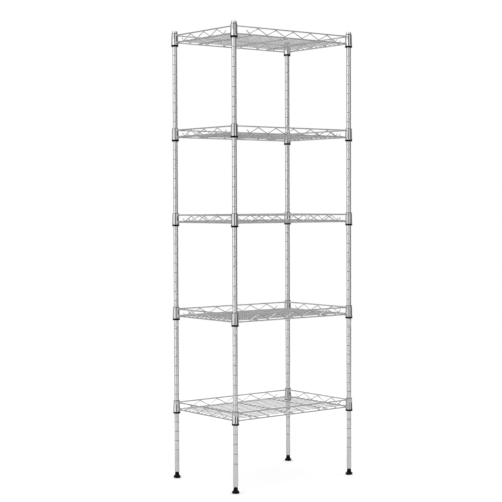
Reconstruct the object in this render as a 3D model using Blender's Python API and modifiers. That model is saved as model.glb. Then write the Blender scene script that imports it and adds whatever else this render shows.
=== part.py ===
"""Five-tier wire shelving rack: grooved posts on levelling feet, tapered sleeves and welded wire shelves.

Metres, +Z up. X runs along the shelves, Y across them, and the front is at -Y. The origin is on the
floor, midway between the four posts. Shelves are counted from the floor, and every height of a shelf
is measured from its datum: the post groove that its sleeves grip.
"""

import math

import bmesh
import bpy
from mathutils import Matrix

# ---------------------------------------------------------------- driving dimensions, metres

POST_SPACING_X = 0.392  # between post axes, along the shelves
POST_SPACING_Y = 0.262  # between post axes, across the shelves
GROOVE_PITCH = 0.0254
SHELF_GROOVES = (7, 17, 27, 36, 46)  # the groove that carries each shelf, counted from the floor

POST_RADIUS = 0.00635
POST_WALL = 0.0010
POST_SECTIONS = 3
GROOVE_DEPTH = 0.0005
GROOVE_HALF_HEIGHT = 0.0011

STUD_LENGTH = 0.040
NUT_HEIGHT = 0.012

CAP_HEAD_HEIGHT = 0.0076
CAP_PLUG_DEPTH = 0.010

FOOT_HEIGHT = 0.017
FOOT_BASE_RADIUS = 0.0080
FOOT_BULGE_RADIUS = 0.0095
FOOT_WAIST_RADIUS = 0.0062
FOOT_TOP_RADIUS = 0.0049
FOOT_WAIST_HEIGHT = 0.0080
FOOT_BULGE_TOP = 0.0054
FOOT_BULGE_BOTTOM = 0.0017
FOOT_STEM_RADIUS = 0.0030
FOOT_STEM_LENGTH = 0.025

SLEEVE_ABOVE_COLLAR = 0.0010
SLEEVE_TOP_WALL = 0.0007
SLEEVE_SLOPE = 0.026  # growth in radius down the taper, over the height
SLEEVE_FLANGE_LIP = 0.0003  # how far the flange shows past the collar that it carries
SLEEVE_FLANGE_HEIGHT = 0.0045
SLEEVE_SLIT_ANGLE = math.radians(6.0)

COLLAR_HEIGHT = 0.030
COLLAR_WALL = 0.0009

RAIL_RADIUS = 0.0018
LOWER_RAIL_ABOVE_COLLAR_BOTTOM = 0.00625
UPPER_RAIL_BELOW_COLLAR_TOP = 0.00455
ZIGZAG_RADIUS = 0.0012
ZIGZAG_PITCH = 0.0588
ZIGZAG_END_SPACE = 0.040  # least distance from a post axis to the first bend
ZIGZAG_TAIL_RUN = 0.009
ZIGZAG_TAIL_RISE = 0.0085

SUPPORT_RADIUS = 0.0015
SUPPORT_INSET = 0.078  # outer cross supports, from the post axes
SUPPORT_RISE = 0.0013  # cross supports, above the middle of the lower rails
DECK_WIRE_RADIUS = 0.0011
DECK_EDGE_INSET = 0.017  # first deck wire, from the post axes
DECK_WIRE_PITCH = 0.019

GAP = 0.0003  # between pieces that touch on the real rack
WELD = 0.0005  # how deep welded wires sink into each other

# ---------------------------------------------------------------- modelling settings

FACETS = 12  # flats round every turned piece, parallel from piece to piece
WIRE_BEVEL_LEVEL = 0  # four flats round a thin wire
RAIL_BEVEL_LEVEL = 1  # six flats round a rail
CAP_DOME_STEPS = 3
SHARP_ANGLE = math.radians(40)
MERGE = 1e-6

# ---------------------------------------------------------------- derived dimensions

HALF_X = POST_SPACING_X / 2
HALF_Y = POST_SPACING_Y / 2
CORNERS = {
    "front_left": (-HALF_X, -HALF_Y),
    "front_right": (HALF_X, -HALF_Y),
    "back_left": (-HALF_X, HALF_Y),
    "back_right": (HALF_X, HALF_Y),
}
SHELF_DATUMS = [groove * GROOVE_PITCH for groove in SHELF_GROOVES]
POST_BORE = POST_RADIUS - POST_WALL
GROOVE_RADIUS = POST_RADIUS - GROOVE_DEPTH
FACET_ANGLE = 2 * math.pi / FACETS

FLANGE_TOP = SLEEVE_FLANGE_HEIGHT / 2
COLLAR_BOTTOM = FLANGE_TOP + GAP
COLLAR_TOP = COLLAR_BOTTOM + COLLAR_HEIGHT
SLEEVE_TOP = COLLAR_TOP + SLEEVE_ABOVE_COLLAR
SLEEVE_BORE = POST_RADIUS + GAP
LOWER_RAIL_HEIGHT = COLLAR_BOTTOM + LOWER_RAIL_ABOVE_COLLAR_BOTTOM
UPPER_RAIL_HEIGHT = COLLAR_TOP - UPPER_RAIL_BELOW_COLLAR_TOP
POST_TOP = SHELF_DATUMS[-1] + SLEEVE_TOP
CAP_RADIUS = SLEEVE_BORE + SLEEVE_TOP_WALL  # covers the end of the top sleeve
SUPPORT_HEIGHT = LOWER_RAIL_HEIGHT + SUPPORT_RISE
SECTION_LENGTH = (POST_TOP - FOOT_HEIGHT) / POST_SECTIONS


def sleeve_radius(height):
    """Outer radius of a sleeve's taper at a height above the datum."""
    return SLEEVE_BORE + SLEEVE_TOP_WALL + (SLEEVE_TOP - height) * SLEEVE_SLOPE


def collar_bore(height):
    """Inner radius of a collar, which stands one gap off the sleeve all the way up."""
    return sleeve_radius(height) + GAP


# ---------------------------------------------------------------- scene


def clear_scene():
    for obj in list(bpy.data.objects):
        bpy.data.objects.remove(obj, do_unlink=True)


def new_collection(name):
    made = bpy.data.collections.new(name)
    bpy.context.scene.collection.children.link(made)
    return made


def new_material(name, colour, roughness, metallic):
    made = bpy.data.materials.new(name)
    made.use_nodes = True
    shader = made.node_tree.nodes["Principled BSDF"]
    shader.inputs["Base Color"].default_value = (*colour, 1.0)
    shader.inputs["Roughness"].default_value = roughness
    shader.inputs["Metallic"].default_value = metallic
    return made


def place(name, mesh, material, location, turn=0.0):
    """Adds a part that shares the given mesh."""
    obj = bpy.data.objects.new(name, mesh)
    obj.location = location
    obj.rotation_euler = (0.0, 0.0, turn)
    RACK.objects.link(obj)
    if not mesh.materials:
        mesh.materials.append(material)
    return obj


def evaluated_mesh(obj):
    """The object's mesh with its modifiers applied. The object is removed."""
    bpy.context.view_layer.update()
    graph = bpy.context.evaluated_depsgraph_get()
    mesh = bpy.data.meshes.new_from_object(obj.evaluated_get(graph))
    bpy.data.objects.remove(obj, do_unlink=True)
    return mesh


def on_bench(name, data):
    """A helper object that is shaped and then removed. It is never part of the rack."""
    obj = bpy.data.objects.new(name, data)
    obj.hide_render = True
    obj.display_type = "WIRE"
    BENCH.objects.link(obj)
    return obj


def smooth(mesh):
    mesh.shade_smooth()
    mesh.set_sharp_from_angle(angle=SHARP_ANGLE)
    return mesh


# ---------------------------------------------------------------- turned pieces and wires


def turned(name, outline, closed, angle=2 * math.pi, start=FACET_ANGLE / 2):
    """A profile of (radius, height) points turned about Z.

    The outline runs down its outer side. A closed outline makes a ring, and an open one starts and
    ends on the axis. A turn of less than a full circle gets flat ends.
    """
    shape = bmesh.new()
    points = [
        shape.verts.new((radius * math.cos(start), radius * math.sin(start), height))
        for radius, height in outline
    ]
    for first, second in zip(points, points[1:]):
        shape.edges.new((first, second))
    if closed:
        shape.edges.new((points[-1], points[0]))
    profile = bpy.data.meshes.new(name)
    shape.to_mesh(profile)
    shape.free()
    obj = on_bench(name, profile)
    screw = obj.modifiers.new("turn", "SCREW")
    screw.axis = "Z"
    screw.angle = angle
    screw.steps = screw.render_steps = FACETS
    screw.use_merge_vertices = True
    screw.merge_threshold = MERGE
    mesh = evaluated_mesh(obj)
    if angle < 2 * math.pi:
        close_ends(mesh)
    return smooth(mesh)


def close_ends(mesh):
    shape = bmesh.new()
    shape.from_mesh(mesh)
    rim = [edge for edge in shape.edges if edge.is_boundary]
    bmesh.ops.holes_fill(shape, edges=rim, sides=0)
    bmesh.ops.recalc_face_normals(shape, faces=shape.faces)
    shape.to_mesh(mesh)
    shape.free()


def wire(name, route, radius, bevel_level):
    """A wire of round section along straight runs, as a closed mesh."""
    curve = bpy.data.curves.new(name, "CURVE")
    curve.dimensions = "3D"
    curve.twist_mode = "Z_UP"
    curve.bevel_depth = radius
    curve.bevel_resolution = bevel_level
    curve.use_fill_caps = True
    spline = curve.splines.new("POLY")
    spline.points.add(len(route) - 1)
    for point, position in zip(spline.points, route):
        point.co = (*position, 1.0)
    mesh = evaluated_mesh(on_bench(name, curve))
    shape = bmesh.new()
    shape.from_mesh(mesh)
    bmesh.ops.remove_doubles(shape, verts=shape.verts, dist=MERGE)
    shape.to_mesh(mesh)
    shape.free()
    return mesh


def gathered(name, meshes):
    """Several meshes as one mesh of separate bodies."""
    shape = bmesh.new()
    for mesh in meshes:
        shape.from_mesh(mesh)
    made = bpy.data.meshes.new(name)
    shape.to_mesh(made)
    shape.free()
    return made


def welded(name, body_meshes, added_meshes):
    """All the bodies as one, by a Boolean union that also joins each set within itself."""
    body = on_bench(name, gathered(name, body_meshes))
    added = on_bench(name + "_added", gathered(name + "_added", added_meshes))
    union = body.modifiers.new("weld", "BOOLEAN")
    union.operation = "UNION"
    union.solver = "EXACT"
    union.use_self = True
    union.object = added
    mesh = evaluated_mesh(body)
    bpy.data.objects.remove(added, do_unlink=True)
    return smooth(mesh)


# ---------------------------------------------------------------- posts


def groove_outline(height):
    return [
        (POST_RADIUS, height + GROOVE_HALF_HEIGHT),
        (GROOVE_RADIUS, height),
        (POST_RADIUS, height - GROOVE_HALF_HEIGHT),
    ]


def post_section_mesh(name, bottom, top, has_nut):
    """A tube with a groove at each shelf datum along it. The lowest section ends in the foot's nut."""
    outline = [(POST_RADIUS, top)]
    for datum in reversed(SHELF_DATUMS):
        if bottom < datum < top:
            outline += groove_outline(datum)
    outline.append((POST_RADIUS, bottom))
    if has_nut:
        nut_bore = FOOT_STEM_RADIUS + GAP
        nut_top = bottom + NUT_HEIGHT
        outline += [(nut_bore, bottom), (nut_bore, nut_top), (POST_BORE, nut_top)]
    else:
        outline.append((POST_BORE, bottom))
    outline.append((POST_BORE, top))
    return turned(name, outline, closed=True)


def add_posts(chrome):
    for index, level in enumerate(("lower", "middle", "upper")):
        bottom = FOOT_HEIGHT + index * SECTION_LENGTH
        top = bottom + SECTION_LENGTH
        if index < POST_SECTIONS - 1:
            top -= GAP
        mesh = post_section_mesh("post_" + level, bottom, top, has_nut=index == 0)
        for corner, (x, y) in CORNERS.items():
            place(f"post_{level}_{corner}", mesh, chrome, (x, y, 0.0))


def add_joint_studs(steel):
    """The studs inside the joints, centred on each joint."""
    radius = POST_BORE - GAP
    half = STUD_LENGTH / 2
    outline = [(0.0, half), (radius, half), (radius, -half), (0.0, -half)]
    mesh = turned("joint_stud", outline, closed=False)
    for index, level in enumerate(("low", "high")):
        height = FOOT_HEIGHT + (index + 1) * SECTION_LENGTH
        for corner, (x, y) in CORNERS.items():
            place(f"joint_stud_{level}_{corner}", mesh, steel, (x, y, height))


def add_post_caps(chrome):
    """Domed caps. The head rests on the end of the tube and its plug reaches down the bore."""
    plug = POST_BORE - GAP
    outline = []
    for step in range(CAP_DOME_STEPS):
        turn = step / CAP_DOME_STEPS * math.pi / 2
        outline.append((CAP_RADIUS * math.sin(turn), CAP_HEAD_HEIGHT * math.cos(turn)))
    outline += [(CAP_RADIUS, GAP), (plug, GAP), (plug, -CAP_PLUG_DEPTH), (0.0, -CAP_PLUG_DEPTH)]
    mesh = turned("post_cap", outline, closed=False)
    for corner, (x, y) in CORNERS.items():
        place("post_cap_" + corner, mesh, chrome, (x, y, POST_TOP))


# ---------------------------------------------------------------- feet


def add_levelling_feet(plastic):
    """Moulded feet on screw stems. The stem passes up through the nut in the post."""
    shoulder = FOOT_HEIGHT - GAP
    outline = [
        (0.0, shoulder + FOOT_STEM_LENGTH),
        (FOOT_STEM_RADIUS, shoulder + FOOT_STEM_LENGTH),
        (FOOT_STEM_RADIUS, shoulder),
        (FOOT_TOP_RADIUS, shoulder),
        (FOOT_WAIST_RADIUS, FOOT_WAIST_HEIGHT),
        (FOOT_BULGE_RADIUS, FOOT_BULGE_TOP),
        (FOOT_BULGE_RADIUS, FOOT_BULGE_BOTTOM),
        (FOOT_BASE_RADIUS, 0.0),
        (0.0, 0.0),
    ]
    mesh = turned("levelling_foot", outline, closed=False)
    for corner, (x, y) in CORNERS.items():
        place("levelling_foot_" + corner, mesh, plastic, (x, y, 0.0))


# ---------------------------------------------------------------- sleeves


def add_sleeves(plastic):
    """Split sleeves: a bead in the bore sits in the post's groove and the flange carries the collar.

    The slit faces the middle of the rack, so each corner's sleeve is turned by its own right angle.
    """
    bead_radius = GROOVE_RADIUS + GAP
    bead_half_height = GROOVE_HALF_HEIGHT * (SLEEVE_BORE - bead_radius) / GROOVE_DEPTH
    flange_radius = collar_bore(COLLAR_BOTTOM) + COLLAR_WALL + SLEEVE_FLANGE_LIP
    outline = [
        (sleeve_radius(SLEEVE_TOP), SLEEVE_TOP),
        (sleeve_radius(FLANGE_TOP), FLANGE_TOP),
        (flange_radius, FLANGE_TOP),
        (flange_radius, -FLANGE_TOP),
        (SLEEVE_BORE, -FLANGE_TOP),
        (SLEEVE_BORE, -bead_half_height),
        (bead_radius, 0.0),
        (SLEEVE_BORE, bead_half_height),
        (SLEEVE_BORE, SLEEVE_TOP),
    ]
    diagonal = math.pi / 4
    mesh = turned(
        "sleeve",
        outline,
        closed=True,
        angle=2 * math.pi - SLEEVE_SLIT_ANGLE,
        start=diagonal + SLEEVE_SLIT_ANGLE / 2,
    )
    right_angle = math.pi / 2
    turns = {
        "front_left": 0.0,
        "front_right": right_angle,
        "back_right": 2 * right_angle,
        "back_left": -right_angle,
    }
    for number, datum in enumerate(SHELF_DATUMS, start=1):
        for corner, (x, y) in CORNERS.items():
            place(f"sleeve_{number}_{corner}", mesh, plastic, (x, y, datum), turns[corner])


# ---------------------------------------------------------------- shelf frames


def collar_mesh(x, y):
    """A tapered collar at one corner of a shelf."""
    outline = [
        (collar_bore(COLLAR_TOP) + COLLAR_WALL, COLLAR_TOP),
        (collar_bore(COLLAR_BOTTOM) + COLLAR_WALL, COLLAR_BOTTOM),
        (collar_bore(COLLAR_BOTTOM), COLLAR_BOTTOM),
        (collar_bore(COLLAR_TOP), COLLAR_TOP),
    ]
    mesh = turned("collar", outline, closed=True)
    mesh.transform(Matrix.Translation((x, y, 0.0)))
    return mesh


def rail_end(height):
    """Distance from a post axis at which a rail ends, half way through the collar's flat wall."""
    return (collar_bore(height) + COLLAR_WALL / 2) * math.cos(FACET_ANGLE / 2)


def zigzag_profile(length):
    """(distance, height) points of a zigzag wire along a side, from one free tail to the other."""
    pitches = int((length - 2 * ZIGZAG_END_SPACE) / ZIGZAG_PITCH)
    first = (length - pitches * ZIGZAG_PITCH) / 2
    bend_offset = RAIL_RADIUS + ZIGZAG_RADIUS - WELD
    low = LOWER_RAIL_HEIGHT + bend_offset
    high = UPPER_RAIL_HEIGHT - bend_offset
    tail = low + ZIGZAG_TAIL_RISE
    points = [(first - ZIGZAG_TAIL_RUN, tail)]
    for bend in range(2 * pitches + 1):
        points.append((first + bend * ZIGZAG_PITCH / 2, high if bend % 2 else low))
    points.append((length - first + ZIGZAG_TAIL_RUN, tail))
    return points


def long_side_wires(y):
    """The two rails and the zigzag of a long side of the frame."""
    made = []
    for height in (LOWER_RAIL_HEIGHT, UPPER_RAIL_HEIGHT):
        reach = HALF_X - rail_end(height)
        route = [(-reach, y, height), (reach, y, height)]
        made.append(wire("long_rail", route, RAIL_RADIUS, RAIL_BEVEL_LEVEL))
    route = [(distance - HALF_X, y, height) for distance, height in zigzag_profile(POST_SPACING_X)]
    made.append(wire("long_zigzag", route, ZIGZAG_RADIUS, WIRE_BEVEL_LEVEL))
    return made


def short_side_wires(x):
    """The two rails and the zigzag of a short side of the frame."""
    made = []
    for height in (LOWER_RAIL_HEIGHT, UPPER_RAIL_HEIGHT):
        reach = HALF_Y - rail_end(height)
        route = [(x, -reach, height), (x, reach, height)]
        made.append(wire("short_rail", route, RAIL_RADIUS, RAIL_BEVEL_LEVEL))
    route = [(x, distance - HALF_Y, height) for distance, height in zigzag_profile(POST_SPACING_Y)]
    made.append(wire("short_zigzag", route, ZIGZAG_RADIUS, WIRE_BEVEL_LEVEL))
    return made


def add_shelf_frames(chrome):
    wires = []
    for side in (-1, 1):
        wires += long_side_wires(side * HALF_Y)
        wires += short_side_wires(side * HALF_X)
    collars = [collar_mesh(x, y) for x, y in CORNERS.values()]
    mesh = welded("shelf_frame", wires, collars)
    for number, datum in enumerate(SHELF_DATUMS, start=1):
        place(f"shelf_frame_{number}", mesh, chrome, (0.0, 0.0, datum))


# ---------------------------------------------------------------- shelf decks


def add_shelf_decks(chrome):
    """Cross supports between the long rails, with the deck wires welded across their tops."""
    wire_height = SUPPORT_HEIGHT + SUPPORT_RADIUS + DECK_WIRE_RADIUS - WELD
    support_reach = HALF_Y - RAIL_RADIUS - GAP
    wire_reach = HALF_X - RAIL_RADIUS - GAP
    support_x = HALF_X - SUPPORT_INSET
    supports = []
    for x in (-support_x, 0.0, support_x):
        route = [(x, -support_reach, SUPPORT_HEIGHT), (x, support_reach, SUPPORT_HEIGHT)]
        supports.append(wire("support", route, SUPPORT_RADIUS, WIRE_BEVEL_LEVEL))
    edge = HALF_Y - DECK_EDGE_INSET
    spaces = round(2 * edge / DECK_WIRE_PITCH)
    deck_wires = []
    for index in range(spaces + 1):
        y = -edge + 2 * edge * index / spaces
        route = [(-wire_reach, y, wire_height), (wire_reach, y, wire_height)]
        deck_wires.append(wire("deck_wire", route, DECK_WIRE_RADIUS, WIRE_BEVEL_LEVEL))
    mesh = welded("shelf_deck", supports, deck_wires)
    for number, datum in enumerate(SHELF_DATUMS, start=1):
        place(f"shelf_deck_{number}", mesh, chrome, (0.0, 0.0, datum))


# ---------------------------------------------------------------- the rack

clear_scene()
RACK = new_collection("wire_shelving_rack")
BENCH = new_collection("bench")

chrome_tube = new_material("chrome_tube", (0.62, 0.625, 0.63), 0.22, 1.0)
chrome_wire = new_material("chrome_wire", (0.52, 0.525, 0.53), 0.20, 1.0)
zinc_steel = new_material("zinc_steel", (0.55, 0.56, 0.57), 0.45, 1.0)
black_plastic = new_material("black_plastic", (0.012, 0.012, 0.013), 0.45, 0.0)

add_posts(chrome_tube)
add_joint_studs(zinc_steel)
add_post_caps(chrome_tube)
add_levelling_feet(black_plastic)
add_sleeves(black_plastic)
add_shelf_frames(chrome_wire)
add_shelf_decks(chrome_wire)
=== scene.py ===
"""Looks of a five-tier chrome wire shelving rack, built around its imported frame.

Metres, +Z up, front at -Y. Every piece is modelled with Blender's own tools at the place that the frame
gives, its finish is made of shader nodes, and it rides on the body that carries it.
"""

import logging
import math
from dataclasses import dataclass, field
from enum import Enum
from typing import Optional, Sequence, Union

import bpy
from mathutils import Matrix, Vector


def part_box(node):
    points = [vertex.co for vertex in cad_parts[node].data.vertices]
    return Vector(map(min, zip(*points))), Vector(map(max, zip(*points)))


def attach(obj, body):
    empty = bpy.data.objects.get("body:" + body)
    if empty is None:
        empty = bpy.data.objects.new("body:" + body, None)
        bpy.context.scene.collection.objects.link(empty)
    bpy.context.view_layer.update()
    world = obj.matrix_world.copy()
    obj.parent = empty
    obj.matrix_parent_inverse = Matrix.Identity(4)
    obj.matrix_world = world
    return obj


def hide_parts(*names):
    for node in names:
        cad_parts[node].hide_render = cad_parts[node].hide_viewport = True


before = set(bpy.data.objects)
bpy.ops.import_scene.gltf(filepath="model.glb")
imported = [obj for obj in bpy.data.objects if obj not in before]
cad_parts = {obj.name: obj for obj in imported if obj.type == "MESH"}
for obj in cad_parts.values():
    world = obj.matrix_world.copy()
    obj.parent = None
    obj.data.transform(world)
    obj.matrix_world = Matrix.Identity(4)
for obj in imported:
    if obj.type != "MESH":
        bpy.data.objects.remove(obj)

LOG = logging.getLogger("wire_rack")
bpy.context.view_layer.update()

TURN = 2 * math.pi
MERGE = 1e-6
SHADE_ANGLE = math.radians(32)
FRAME_FLATS = 12  # round each turned node of the frame
SEED_SIZE = 1e-4  # of the plane that is merged to a profile's first point
NOSE_SHARE = 0.35  # of a wire's radius, rounded off at its cut ends
MIX_SHARE, MIX_FIRST, MIX_SECOND, MIX_RESULT = 0, 6, 7, 2  # a Mix node's sockets for colours
NOISE_ROUGHNESS = 0.55

Point = tuple[float, float]
Place = tuple[float, float, float]
Colour = tuple[float, float, float]
Number = Union[float, "Field"]


class Slot(Enum):
    """The material slots that the finishes belong to."""

    TUBE = "chrome_tube"
    WIRE = "chrome_wire"
    ZINC = "zinc_steel"
    PLASTIC = "black_plastic"


# ---------------------------------------------------------------- shader building


class Field:
    """A number that varies over a surface: a socket with arithmetic."""

    def __init__(self, bench: "NodeBench", socket: bpy.types.NodeSocket) -> None:
        """Wraps a socket of the bench's tree."""
        self.bench = bench
        self.socket = socket

    def _math(self, operation: str, *operands: Number, clamp: bool = False) -> "Field":
        """Adds one Math node."""
        settings = {"operation": operation, "use_clamp": clamp}
        return self.bench.field("ShaderNodeMath", settings, dict(enumerate(operands)))

    def __add__(self, other: Number) -> "Field":
        """Sum."""
        return self._math("ADD", self, other)

    __radd__ = __add__

    def __sub__(self, other: Number) -> "Field":
        """Difference."""
        return self._math("SUBTRACT", self, other)

    def __rsub__(self, other: Number) -> "Field":
        """Difference, reflected."""
        return self._math("SUBTRACT", other, self)

    def __mul__(self, other: Number) -> "Field":
        """Product."""
        return self._math("MULTIPLY", self, other)

    __rmul__ = __mul__

    def __truediv__(self, other: Number) -> "Field":
        """Quotient."""
        return self._math("DIVIDE", self, other)

    def __abs__(self) -> "Field":
        """Size without sign."""
        return self._math("ABSOLUTE", self)

    def fraction(self) -> "Field":
        """The part after the point."""
        return self._math("FRACT", self)

    def clamped(self) -> "Field":
        """The number kept between 0 and 1."""
        return self._math("ADD", self, 0.0, clamp=True)

    def bearing(self, other: Number) -> "Field":
        """The angle whose tangent is this number over the other."""
        return self._math("ARCTAN2", self, other)

    def highest(self, other: Number) -> "Field":
        """The greater of two numbers."""
        return self._math("MAXIMUM", self, other)

    def ramp(self, low: float, high: float) -> "Field":
        """Rises smoothly from 0 at low to 1 at high, or falls where low is the greater.

        Args:
            low: Where the result is 0.
            high: Where the result is 1.

        Returns:
            The share, between 0 and 1.
        """
        start, end = (0.0, 1.0) if low < high else (1.0, 0.0)
        settings = {"interpolation_type": "SMOOTHSTEP"}
        inputs = {
            "Value": self,
            "From Min": min(low, high),
            "From Max": max(low, high),
            "To Min": start,
            "To Max": end,
        }
        return self.bench.field("ShaderNodeMapRange", settings, inputs)


class NodeBench:
    """Adds nodes to one tree."""

    def __init__(self, tree: bpy.types.NodeTree) -> None:
        """Empties the tree."""
        self.tree = tree
        tree.nodes.clear()

    def connect(self, node: bpy.types.Node, inputs: dict) -> None:
        """Fills in a node's sockets.

        Args:
            node: The node.
            inputs: Values, sockets or fields, by socket name or number.
        """
        for name, value in inputs.items():
            source = value.socket if isinstance(value, Field) else value
            if isinstance(source, bpy.types.NodeSocket):
                self.tree.links.new(source, node.inputs[name])
            else:
                node.inputs[name].default_value = source

    def node(
        self, kind: str, settings: Optional[dict] = None, inputs: Optional[dict] = None
    ) -> bpy.types.Node:
        """Adds one node.

        Args:
            kind: The node's type.
            settings: Its properties, which are set first.
            inputs: Values, sockets or fields, by socket name or number.

        Returns:
            The node.
        """
        made = self.tree.nodes.new(kind)
        for name, value in (settings or {}).items():
            setattr(made, name, value)
        self.connect(made, inputs or {})
        return made

    def field(self, kind: str, settings: dict, inputs: dict) -> Field:
        """Adds one node and wraps its first output, which holds a number."""
        return Field(self, self.node(kind, settings, inputs).outputs[0])

    def place(self) -> bpy.types.NodeSocket:
        """The point's place on the rack, in metres."""
        return self.node("ShaderNodeTexCoord").outputs["Object"]

    def axes(self, vector: bpy.types.NodeSocket) -> tuple[Field, Field, Field]:
        """The three numbers of a vector."""
        split = self.node("ShaderNodeSeparateXYZ", inputs={0: vector})
        return tuple(Field(self, socket) for socket in split.outputs)

    def stretched(self, vector: bpy.types.NodeSocket, scale: Place) -> bpy.types.NodeSocket:
        """The vector with each of its numbers multiplied."""
        return self.node("ShaderNodeMapping", {}, {"Vector": vector, "Scale": scale}).outputs[0]

    def noise(self, vector: bpy.types.NodeSocket, scale: float, detail: float = 2.0) -> Field:
        """Soft noise between 0 and 1."""
        inputs = {"Vector": vector, "Scale": scale, "Detail": detail, "Roughness": NOISE_ROUGHNESS}
        return self.field("ShaderNodeTexNoise", {"noise_dimensions": "3D"}, inputs)

    def blended(self, share: Field, first: Sequence[float], second: Sequence[float]) -> bpy.types.NodeSocket:
        """A colour between two.

        Args:
            share: 0 for the first colour and 1 for the second.
            first: A colour of three numbers, or a socket.
            second: A colour of three numbers, or a socket.

        Returns:
            The blended colour.
        """
        inputs = {MIX_SHARE: share}
        for number, colour in ((MIX_FIRST, first), (MIX_SECOND, second)):
            inputs[number] = colour if isinstance(colour, bpy.types.NodeSocket) else (*colour, 1.0)
        return self.node("ShaderNodeMix", {"data_type": "RGBA"}, inputs).outputs[MIX_RESULT]

    def bumped(self, height: Field, distance: float, strength: float) -> bpy.types.NodeSocket:
        """A normal bent by a height."""
        inputs = {"Height": height, "Distance": distance, "Strength": strength}
        return self.node("ShaderNodeBump", {}, inputs).outputs[0]


@dataclass(frozen=True)
class Finish:
    """What every finish of the rack shares.

    Args:
        name: The material's name.
        colour: Its main colour.
        roughness: Its least roughness.
        metallic: 1 for metal.
        edge_tint: The share of light that it keeps where it is seen edge on.
    """

    name: str
    colour: Colour
    roughness: float
    metallic: float = 1.0
    edge_tint: Colour = (0.3, 0.3, 0.3)

    def material(self) -> bpy.types.Material:
        """Makes the material, once.

        Returns:
            The material.
        """
        made = bpy.data.materials.get(self.name)
        if made is None:
            made = bpy.data.materials.new(self.name)
            made.use_nodes = True
            bench = NodeBench(made.node_tree)
            tint = (*self.edge_tint, 1.0)
            shader = bench.node("ShaderNodeBsdfPrincipled", {}, {"Specular Tint": tint})
            bench.node("ShaderNodeOutputMaterial", {}, {"Surface": shader.outputs[0]})
            self.paint(bench, shader)
        return made

    def paint(self, bench: NodeBench, shader: bpy.types.Node) -> None:
        """Fills in the shader."""
        raise NotImplementedError

    def fill(
        self,
        bench: NodeBench,
        shader: bpy.types.Node,
        colour: bpy.types.NodeSocket,
        rough: Field,
        normal: bpy.types.NodeSocket,
    ) -> None:
        """Connects what varies over the surface.

        Args:
            bench: The bench of the material's tree.
            shader: Its Principled shader.
            colour: The colour.
            rough: The roughness over the least one.
            normal: The normal.
        """
        shader.inputs["Metallic"].default_value = self.metallic
        inputs = {"Base Color": colour, "Roughness": rough + self.roughness, "Normal": normal}
        bench.connect(shader, inputs)


@dataclass(frozen=True)
class PostChrome(Finish):
    """Bright plate on drawn tube: lengthwise draw lines, painted shade in the grooves and rub marks from the
    sleeves.
    """

    groove_pitch: float = 0.0254
    groove_half_height: float = 0.0011
    first_groove: float = 0.0762
    # painted shade: the dark colour that each groove band is blended towards
    groove_shade_colour: Colour = (0.20, 0.20, 0.20)
    smudge_colour: Colour = (0.66, 0.66, 0.66)
    line_grains: float = 2600.0  # for each metre, as in every finish
    smudge_grains: float = 38.0
    pit_grains: float = 1500.0

    def paint(self, bench: NodeBench, shader: bpy.types.Node) -> None:
        """Draw lines and smudges over the tube, and painted shade in each groove.

        Args:
            bench: The bench of the material's tree.
            shader: Its Principled shader.
        """
        place = bench.place()
        height = bench.axes(place)[2]
        phase = (height / self.groove_pitch + 0.5).fraction() - 0.5
        pitch, half = self.groove_pitch, self.groove_half_height
        plain_end = height.ramp(self.first_groove - 0.3 * pitch, self.first_groove - 0.5 * pitch)
        off_groove = abs(phase) * pitch + plain_end
        groove = off_groove.ramp(half, 0.4 * half)
        rub = off_groove.ramp(4.5 * half, half)
        lines = bench.noise(bench.stretched(place, (1.0, 1.0, 0.006)), self.line_grains)
        smudges = bench.noise(place, self.smudge_grains, 4.0).ramp(0.45, 0.75)
        pits = bench.noise(place, self.pit_grains, 1.0).ramp(0.68, 0.76)
        tint = bench.blended(smudges * 0.5 + lines * 0.25, self.colour, self.smudge_colour)
        # painted shade in each groove band, together with the real dark pits
        pitted_and_groove_shaded = bench.blended((groove * 0.85 + pits * 0.18).clamped(), tint, self.groove_shade_colour)
        rough = lines * 0.07 + smudges * 0.08 + rub * 0.05 + groove * 0.16 + pits * 0.12
        relief = lines * 0.6 + smudges * 0.2 - pits * 0.7
        self.fill(bench, shader, pitted_and_groove_shaded, rough, bench.bumped(relief, 0.00002, 0.35))


@dataclass(frozen=True)
class PressedChrome(Finish):
    """Bright plate on rolled sheet, for collars: soft ripples and smudges."""

    shade_colour: Colour = (0.36, 0.36, 0.36)
    ripple_grains: float = 170.0
    line_grains: float = 3000.0
    smudge_grains: float = 60.0
    pit_grains: float = 1800.0

    def paint(self, bench: NodeBench, shader: bpy.types.Node) -> None:
        """Ripples that bend the reflections, and a haze of fine polishing lines.

        Args:
            bench: The bench of the material's tree.
            shader: Its Principled shader.
        """
        place = bench.place()
        ripples = bench.noise(bench.stretched(place, (1.0, 1.0, 0.25)), self.ripple_grains, 1.0)
        lines = bench.noise(bench.stretched(place, (0.05, 0.05, 1.0)), self.line_grains)
        smudges = bench.noise(place, self.smudge_grains, 4.0).ramp(0.48, 0.72)
        pits = bench.noise(place, self.pit_grains, 1.0).ramp(0.68, 0.75)
        shade = (smudges * 0.25 + lines * 0.12 + pits * 0.3).clamped()
        colour = bench.blended(shade, self.colour, self.shade_colour)
        rough = lines * 0.05 + smudges * 0.08 + pits * 0.15
        relief = ripples + lines * 0.03 - pits * 0.08
        self.fill(bench, shader, colour, rough, bench.bumped(relief, 0.00025, 0.45))


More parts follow.
